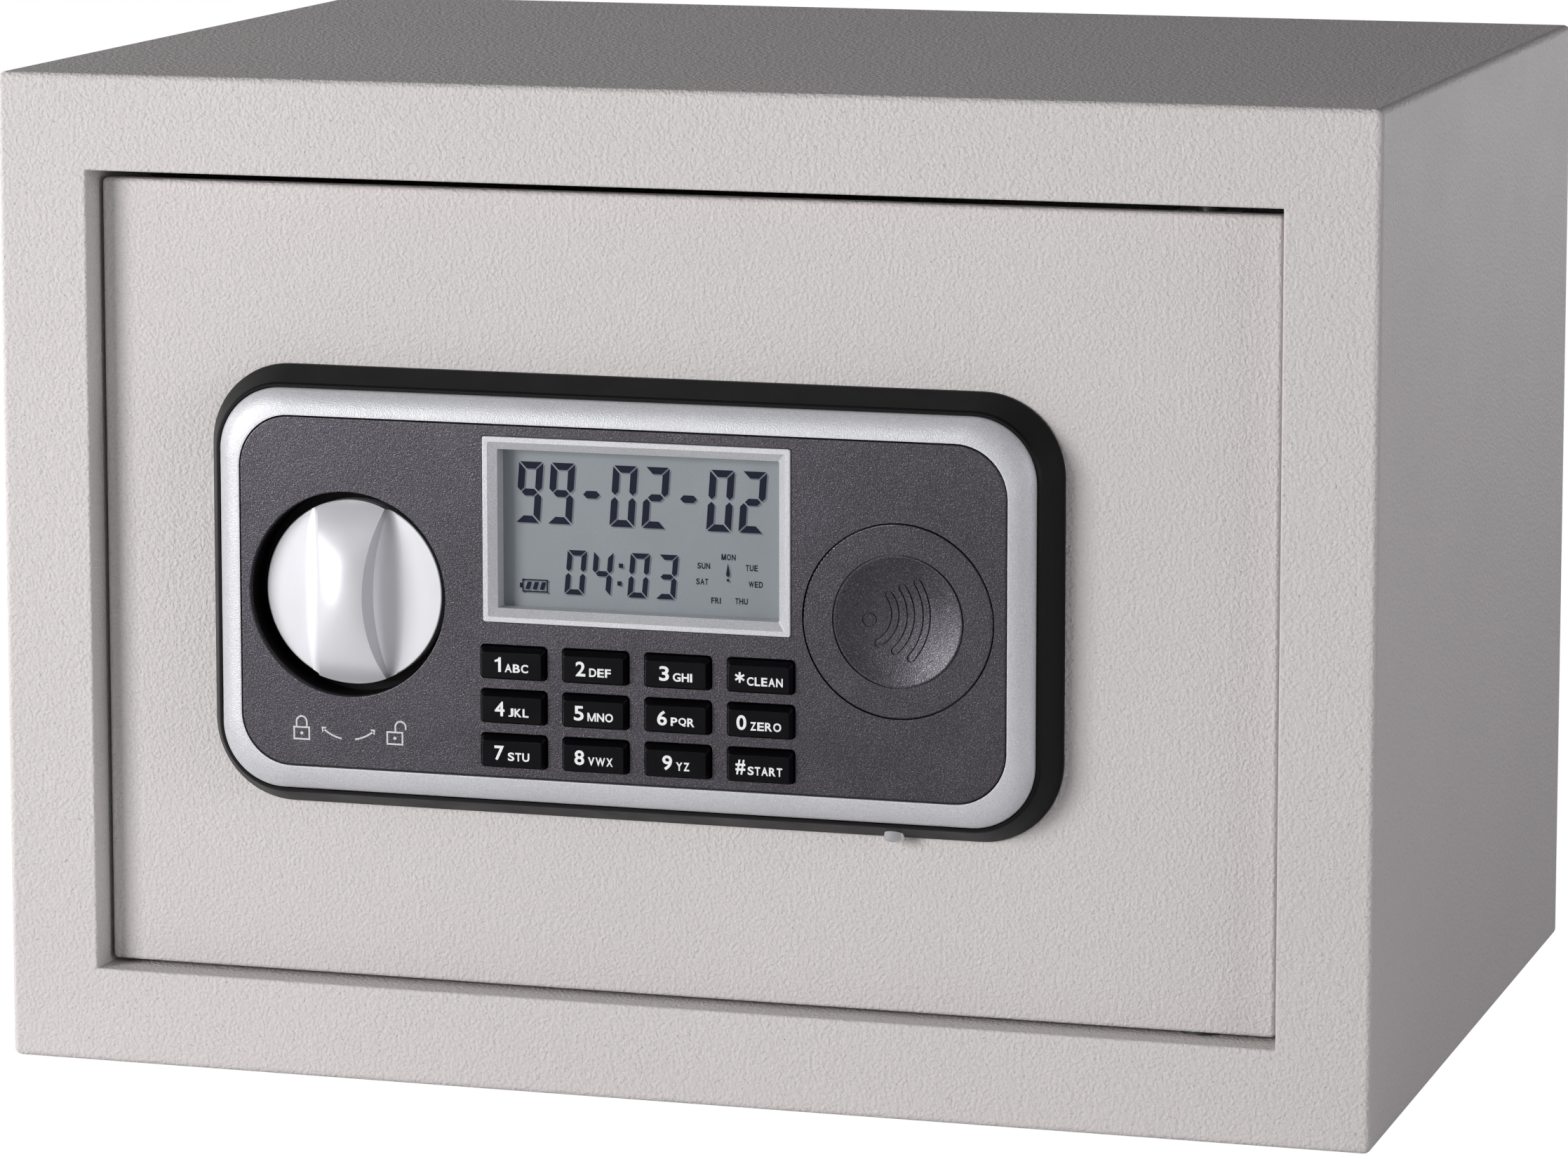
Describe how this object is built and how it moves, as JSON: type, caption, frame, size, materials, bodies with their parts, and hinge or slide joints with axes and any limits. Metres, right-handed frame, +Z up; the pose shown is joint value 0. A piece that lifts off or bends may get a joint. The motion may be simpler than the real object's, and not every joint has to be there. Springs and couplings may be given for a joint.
{
  "type": "in-room safe",
  "caption": "Small steel room safe with a recessed hinged door, keypad and display unit, turn knob with sliding bolts, card reader badge and anchor holes.",
  "frame": {"origin": "centre of the underside of the cabinet", "axes": "+X to the right seen from the front, +Y from the door towards the back, +Z up"},
  "size_m": [0.35, 0.2602, 0.25],
  "materials": {
    "copper_winding": "satin",
    "grey_powder_coat": "fine textured powder coat",
    "battery_sleeve": "printed film",
    "zinc_plated_steel": "satin",
    "black_bay_plastic": "moulded",
    "chromed_steel": "polished",
    "screw_steel": "satin",
    "circuit_board": "satin",
    "silver_plastic": "satin metallic",
    "dark_metallic_plastic": "fine metallic satin",
    "felt": "felt",
    "blackened_steel": "blackened",
    "black_key_plastic": "gloss",
    "silicone": "matte",
    "silver_knob": "satin",
    "display_panel": "satin",
    "black_bezel_plastic": "satin",
    "red_button_plastic": "gloss",
    "coil_casing": "satin",
    "brass_bushing": "machined"
  },
  "bodies": {
    "cabinet": {"cabinet_shell": "grey_powder_coat", "front_frame": "grey_powder_coat", "back_panel": "grey_powder_coat", "door_jamb": "grey_powder_coat", "floor_mat": "felt", "hinge_pins": "blackened_steel", "hinge_washer": "blackened_steel"},
    "door": {"antenna_coil": "copper_winding", "battery_1": "battery_sleeve", "battery_2": "battery_sleeve", "battery_3": "battery_sleeve", "battery_4": "battery_sleeve", "battery_contacts": "zinc_plated_steel", "battery_tray": "black_bay_plastic", "bezel_screw": "chromed_steel", "bolt_guide": "zinc_plated_steel", "circuit_board": "circuit_board", "cover_posts": "zinc_plated_steel", "cover_screws": "screw_steel", "display_frame": "silver_plastic", "door_plate": "grey_powder_coat", "face_plate": "dark_metallic_plastic", "guide_studs": "zinc_plated_steel", "hinge_lugs": "zinc_plated_steel", "keypad_mat": "silicone", "lcd_module": "display_panel", "lock_cover": "grey_powder_coat", "panel_bezel": "black_bezel_plastic", "panel_screws": "screw_steel", "reader_disc": "dark_metallic_plastic", "reset_switch": "black_bay_plastic", "silver_ring": "silver_plastic", "solenoid_body": "coil_casing", "solenoid_bracket": "zinc_plated_steel", "spindle_bushing": "brass_bushing"},
    "knob": {"knob": "silver_knob", "knob_spindle": "zinc_plated_steel", "cam_disc": "zinc_plated_steel", "cam_nut": "zinc_plated_steel"},
    "bolt_carriage": {"bolt_carriage": "zinc_plated_steel", "bolt_upper": "chromed_steel", "bolt_lower": "chromed_steel", "carriage_screws": "screw_steel"},
    "solenoid_plunger": {"solenoid_plunger": "zinc_plated_steel"},
    "battery_lid": {"battery_lid": "black_bay_plastic"},
    "reset_button": {"reset_button": "red_button_plastic"},
    "key_0": {"key_0": "black_key_plastic"},
    "key_1": {"key_1": "black_key_plastic"},
    "key_2": {"key_2": "black_key_plastic"},
    "key_3": {"key_3": "black_key_plastic"},
    "key_4": {"key_4": "black_key_plastic"},
    "key_5": {"key_5": "black_key_plastic"},
    "key_6": {"key_6": "black_key_plastic"},
    "key_7": {"key_7": "black_key_plastic"},
    "key_8": {"key_8": "black_key_plastic"},
    "key_9": {"key_9": "black_key_plastic"},
    "key_clean": {"key_clean": "black_key_plastic"},
    "key_start": {"key_start": "black_key_plastic"}
  },
  "joints": [
    {"name": "door_hinge", "type": "hinge", "parent": "cabinet", "child": "door", "pos_m": [0.1305, -0.109, 0.125], "axis": [0, 0, 1], "range_deg": [0, 105]},
    {"name": "knob_turn", "type": "hinge", "parent": "door", "child": "knob", "pos_m": [-0.0819, -0.125, 0.1236], "axis": [0, -1, 0], "range_deg": [0, 90]},
    {"name": "bolt_throw", "type": "slide", "parent": "door", "child": "bolt_carriage", "axis": [-1, 0, 0], "range_m": [0, 0.01697]},
    {"name": "solenoid_travel", "type": "slide", "parent": "door", "child": "solenoid_plunger", "axis": [0, 0, -1], "range_m": [0, 0.0045]},
    {"name": "battery_lid_slide", "type": "slide", "parent": "door", "child": "battery_lid", "axis": [0, 0, -1], "range_m": [0, 0.045]},
    {"name": "reset_press", "type": "slide", "parent": "door", "child": "reset_button", "axis": [0, -1, 0], "range_m": [0, 0.0015], "stiffness_N_per_m": 400},
    {"name": "key_0_press", "type": "slide", "parent": "door", "child": "key_0", "axis": [0, 1, 0], "range_m": [0, 0.0012], "stiffness_N_per_m": 600},
    {"name": "key_1_press", "type": "slide", "parent": "door", "child": "key_1", "axis": [0, 1, 0], "range_m": [0, 0.0012], "stiffness_N_per_m": 600},
    {"name": "key_2_press", "type": "slide", "parent": "door", "child": "key_2", "axis": [0, 1, 0], "range_m": [0, 0.0012], "stiffness_N_per_m": 600},
    {"name": "key_3_press", "type": "slide", "parent": "door", "child": "key_3", "axis": [0, 1, 0], "range_m": [0, 0.0012], "stiffness_N_per_m": 600},
    {"name": "key_4_press", "type": "slide", "parent": "door", "child": "key_4", "axis": [0, 1, 0], "range_m": [0, 0.0012], "stiffness_N_per_m": 600},
    {"name": "key_5_press", "type": "slide", "parent": "door", "child": "key_5", "axis": [0, 1, 0], "range_m": [0, 0.0012], "stiffness_N_per_m": 600},
    {"name": "key_6_press", "type": "slide", "parent": "door", "child": "key_6", "axis": [0, 1, 0], "range_m": [0, 0.0012], "stiffness_N_per_m": 600},
    {"name": "key_7_press", "type": "slide", "parent": "door", "child": "key_7", "axis": [0, 1, 0], "range_m": [0, 0.0012], "stiffness_N_per_m": 600},
    {"name": "key_8_press", "type": "slide", "parent": "door", "child": "key_8", "axis": [0, 1, 0], "range_m": [0, 0.0012], "stiffness_N_per_m": 600},
    {"name": "key_9_press", "type": "slide", "parent": "door", "child": "key_9", "axis": [0, 1, 0], "range_m": [0, 0.0012], "stiffness_N_per_m": 600},
    {"name": "key_clean_press", "type": "slide", "parent": "door", "child": "key_clean", "axis": [0, 1, 0], "range_m": [0, 0.0012], "stiffness_N_per_m": 600},
    {"name": "key_start_press", "type": "slide", "parent": "door", "child": "key_start", "axis": [0, 1, 0], "range_m": [0, 0.0012], "stiffness_N_per_m": 600}
  ],
  "couplings": [
    {"joint": "knob_turn", "follows": "bolt_throw", "rad_per_m": 92.56}
  ]
}
